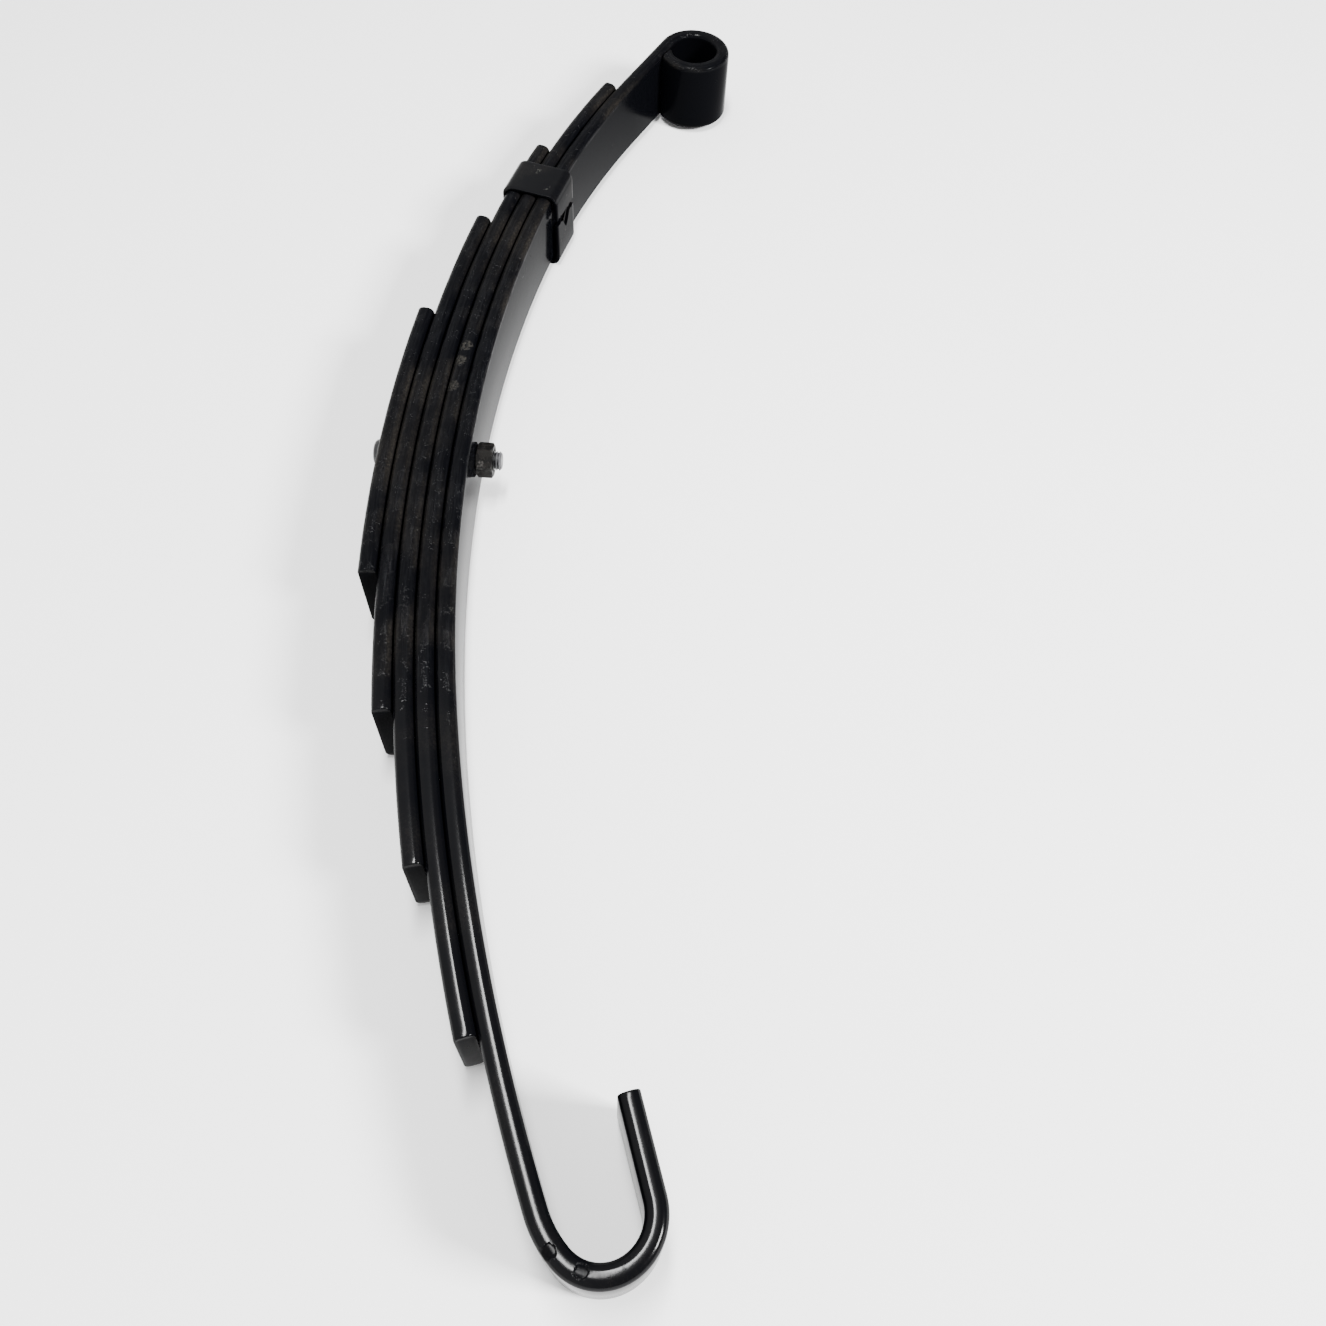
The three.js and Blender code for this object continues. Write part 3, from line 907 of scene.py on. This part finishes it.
peel = use(tree, peel_group, {"Vector": place, "Size": 1.0, "Height": 1.0})
scale = use(tree, scale_group, {"Vector": place, "Size": 1.6, "Amount": 0.5, "Height": rolled})
chips = use(tree, chip_group, {"Vector": place, "Size": 1.5, "Amount": 0.33, "Where": rolled})
pits = use(tree, chip_group, {"Vector": place, "Size": 4.0, "Amount": 0.33, "Where": 1.0})
dusty = plus(tree, maths(tree, "MULTIPLY", groove, in_stack), edge, 0.3)
dust = use(tree, dust_group, {"Vector": place, "Size": 1.0, "Amount": 0.7, "Where": dusty})
streaks = ramp(tree, noise(tree, ridge_place, 1.4, 4, 0.65), 0.42, 0.68)
blotches = ramp(tree, noise(tree, place, 90, 4, 0.65), 0.35, 0.7, 0.25, 1.0)
worn = maths(tree, "MULTIPLY", maths(tree, "MULTIPLY", streaks, blotches), rolled)
colour = mix_colour(tree, worn, BLACK, WORN)
colour = mix_colour(tree, dust.outputs["Mask"], colour, DUST)
colour = mix_colour(tree, chips.outputs["Mask"], colour, BARE)
crusted = maths(tree, "MULTIPLY", crust, ramp(tree, noise(tree, place, 700, 3), 0.35, 0.6))
colour = mix_colour(tree, crusted, colour, CRUST)
# Painted shadow behind the clip's seam: the colour goes to black there.
colour = mix_colour(tree, seam_painted_shadow, colour, BLACK)
tree.links.new(colour, shader.inputs["Base Color"])
# The painted shadow behind the seam is made rough too, so it mirrors nothing.
rough = 0.09
for mask, weight in (
    (edge, 0.14), (noise(tree, place, 60, 3), 0.08), (dust.outputs["Mask"], 0.4),
    (seam_painted_shadow, 0.9), (chips.outputs["Mask"], 0.35),
):
    rough = plus(tree, rough, mask, weight)
rough = maths(tree, "MINIMUM", rough, 1.0)
tree.links.new(rough, shader.inputs["Roughness"])
coat = plus(tree, 0.01, edge, 0.20)
coat = without(tree, coat, flaked, 0.8)
coat = without(tree, coat, in_stack, 0.55)
coat = without(tree, coat, crusted)
tree.links.new(maths(tree, "MULTIPLY", coat, edge_coat), shader.inputs["Coat Weight"])
height = maths(tree, "MULTIPLY", peel.outputs["Height"], 0.3)
for mask, weight in (
    (scale.outputs["Height"], 1.6), (ridges, 4.5), (crusted, 3.0), (flaked, -5.0),
    (chips.outputs["Mask"], -0.8), (pits.outputs["Mask"], -0.8),
):
    height = plus(tree, height, mask, weight)
set_bump(tree, shader, height, PAINT_RELIEF)
feed(tree, shader, {"IOR": PAINT_IOR, "Coat IOR": COAT_IOR, "Coat Roughness": 0.13})

# %% [markdown]
# ## Paint on the clip and rivet, and finishes of the bolt and nut
# The clip has the same paint laid thicker over smooth strap. The nut keeps its dull phosphate
# coat, with rust brown in it, and the bolt's end is worn through to grey steel.

# %% Clip paint
CLIP_COAT = 0.22

clip_paint, tree, shader, place = new_material("black_clip_paint")
peel = use(tree, peel_group, {"Vector": place, "Size": 1.4, "Height": 1.0})
marks = use(tree, chip_group, {"Vector": place, "Size": 2.6, "Amount": 0.36, "Where": 1.0})
dust = use(tree, dust_group, {"Vector": place, "Size": 1.4, "Amount": 0.35, "Where": 1.0})
colour = mix_colour(tree, dust.outputs["Mask"], BLACK, DUST)
colour = mix_colour(tree, marks.outputs["Mask"], colour, BARE)
tree.links.new(colour, shader.inputs["Base Color"])
rough = plus(tree, 0.12, noise(tree, place, 80, 3), 0.12)
rough = plus(tree, rough, marks.outputs["Mask"], 0.3)
tree.links.new(rough, shader.inputs["Roughness"])
height = maths(tree, "MULTIPLY", peel.outputs["Height"], 0.5)
height = plus(tree, height, marks.outputs["Mask"], -0.4)
set_bump(tree, shader, height, PAINT_RELIEF)
clip_coat = ramp(tree, axis(tree, place, "Z"), TOP_Z - 3 * MM, TOP_Z, 0.0, CLIP_COAT)
tree.links.new(clip_coat, shader.inputs["Coat Weight"])
feed(tree, shader, {"IOR": PAINT_IOR, "Coat IOR": COAT_IOR, "Coat Roughness": 0.25})

# %% Nut phosphate
PHOSPHATE = (0.0016, 0.0014, 0.0013, 1)
RUST = (0.004, 0.0035, 0.003, 1)
RUBBED = (0.035, 0.033, 0.031, 1)
NUT_RELIEF = 0.18 * MM

nut_finish, tree, shader, place = new_material("nut_phosphate")
crust = use(tree, scale_group, {"Vector": place, "Size": 4.0, "Amount": 0.52, "Height": 1.0})
rubbed = use(tree, chip_group, {"Vector": place, "Size": 5.0, "Amount": 0.40, "Where": 1.0})
colour = mix_colour(tree, crust.outputs["Mask"], PHOSPHATE, RUST)
colour = mix_colour(tree, rubbed.outputs["Mask"], colour, RUBBED)
tree.links.new(colour, shader.inputs["Base Color"])
rough = ramp(tree, noise(tree, place, 400, 3), 0.3, 0.7, 0.35, 0.65)
tree.links.new(rough, shader.inputs["Roughness"])
height = plus(tree, crust.outputs["Height"], noise(tree, place, 1800, 3), 0.5)
set_bump(tree, shader, height, NUT_RELIEF)
feed(tree, shader, {"IOR": 1.2})

# %% Bolt steel
GREY_STEEL = (0.018, 0.018, 0.019, 1)
BRIGHT_STEEL = (0.05, 0.05, 0.053, 1)
WORN_END = (2.2 * MM, 3.2 * MM)
BOLT_RELIEF = 0.1 * MM

bolt_finish, tree, shader, place = new_material("bolt_steel")
end_low, end_high = (bolt_low.y + reach for reach in WORN_END)
end_mask = ramp(tree, axis(tree, place, "Y"), end_low, end_high, 1.0, 0.0)
worn = use(tree, chip_group, {"Vector": place, "Size": 3.0, "Amount": 0.62, "Where": end_mask})
peel = use(tree, peel_group, {"Vector": place, "Size": 2.0, "Height": 1.0})
colour = mix_colour(tree, end_mask, BLACK, GREY_STEEL)
colour = mix_colour(tree, worn.outputs["Mask"], colour, BRIGHT_STEEL)
tree.links.new(colour, shader.inputs["Base Color"])
rough = ramp(tree, noise(tree, place, 300, 3), 0.3, 0.7, 0.3, 0.5)
tree.links.new(rough, shader.inputs["Roughness"])
tree.links.new(maths(tree, "MULTIPLY", end_mask, 0.3), shader.inputs["Metallic"])
set_bump(tree, shader, peel.outputs["Height"], BOLT_RELIEF)
print("materials:", [made.name for made in bpy.data.materials])

# %% [markdown]
# ## Hand the pieces over
# Each fine piece takes the place of its frame node, rides on the part's one body and takes its
# finish from the record's slot of the same purpose.

# %% Pieces on the body
FINISHES = {
    "leaf_paint": leaf_paint, "clip_paint": clip_paint,
    "bolt_steel": bolt_finish, "nut_steel": nut_finish,
}
pieces = {node: (leaf, "leaf_paint") for node, leaf in leaves.items()}
pieces["rebound_clip"] = (clip, "clip_paint")
pieces["clip_rivet"] = (rivet, "clip_paint")
pieces["centre_bolt"] = (bolt, "bolt_steel")
pieces["centre_nut"] = (nut, "nut_steel")
for node, (piece, slot) in pieces.items():
    for painted in (piece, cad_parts[node]):
        painted.data.materials.clear()
        painted.data.materials.append(FINISHES[slot])
    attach(piece, "root")
    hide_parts(node)
print("pieces:", {node: piece.name for node, (piece, _) in pieces.items()})

# %% [markdown]
# ## Bench and light
# A plain pale bench, a soft light to the camera's right that draws the thin bright lines along the
# bars, and a long panel overhead. The room is dim on the concave side and bright on the other,
# because black gloss shows whatever stands around it.

# %% Bench
BENCH_SIZE = 9
BENCH_DROP = 0.2 * MM
BENCH_TONES = (0.92, 0.92, 0.92, 1), (0.94, 0.94, 0.94, 1)

clear_selection()
bpy.ops.mesh.primitive_plane_add(size=BENCH_SIZE, location=(0, 0, -BENCH_DROP))
bench = bpy.context.object
bench.name = "bench"
bench_finish, tree, shader, place = new_material("pale_bench")
tone = ramp(tree, noise(tree, place, 3, 2), 0.3, 0.7)
feed(tree, shader, {"Base Color": mix_colour(tree, tone, *BENCH_TONES), "Roughness": 0.7})
bench.data.materials.append(bench_finish)


# %% Lights
def soft_light(name, place, size_x, size_y, power):
    """A rectangular light aimed at the middle of the part."""
    data = bpy.data.lights.new(name, "AREA")
    data.shape = "RECTANGLE"
    data.size, data.size_y = size_x, size_y
    data.energy = power
    light = bpy.data.objects.new(name, data)
    bpy.context.scene.collection.objects.link(light)
    light.location = place
    light.rotation_euler = (-Vector(place)).to_track_quat("-Z", "Y").to_euler()
    return light


soft_light("key_light", (-0.7, -1.9, 1.6), 0.6, 0.6, 190)
overhead = soft_light("overhead_panel", (0.0, 0.06, 1.6), 0.7, 0.16, 45)
overhead.rotation_euler = (0, 0, 0)

ROOM_DIM, ROOM_BRIGHT = 0.35, 1.5
world = bpy.data.worlds.new("room")
bpy.context.scene.world = world
world.use_nodes = True
tree = world.node_tree
tree.nodes.clear()
way = tree.nodes.new("ShaderNodeTexCoord").outputs["Generated"]
level = ramp(tree, axis(tree, way, "Y"), -0.5, 0.6, ROOM_DIM, ROOM_BRIGHT)
room_light = add(tree, "ShaderNodeBackground", {"Color": (1, 1, 1, 1), "Strength": level})
world_out = tree.nodes.new("ShaderNodeOutputWorld")
tree.links.new(room_light.outputs[0], world_out.inputs[0])
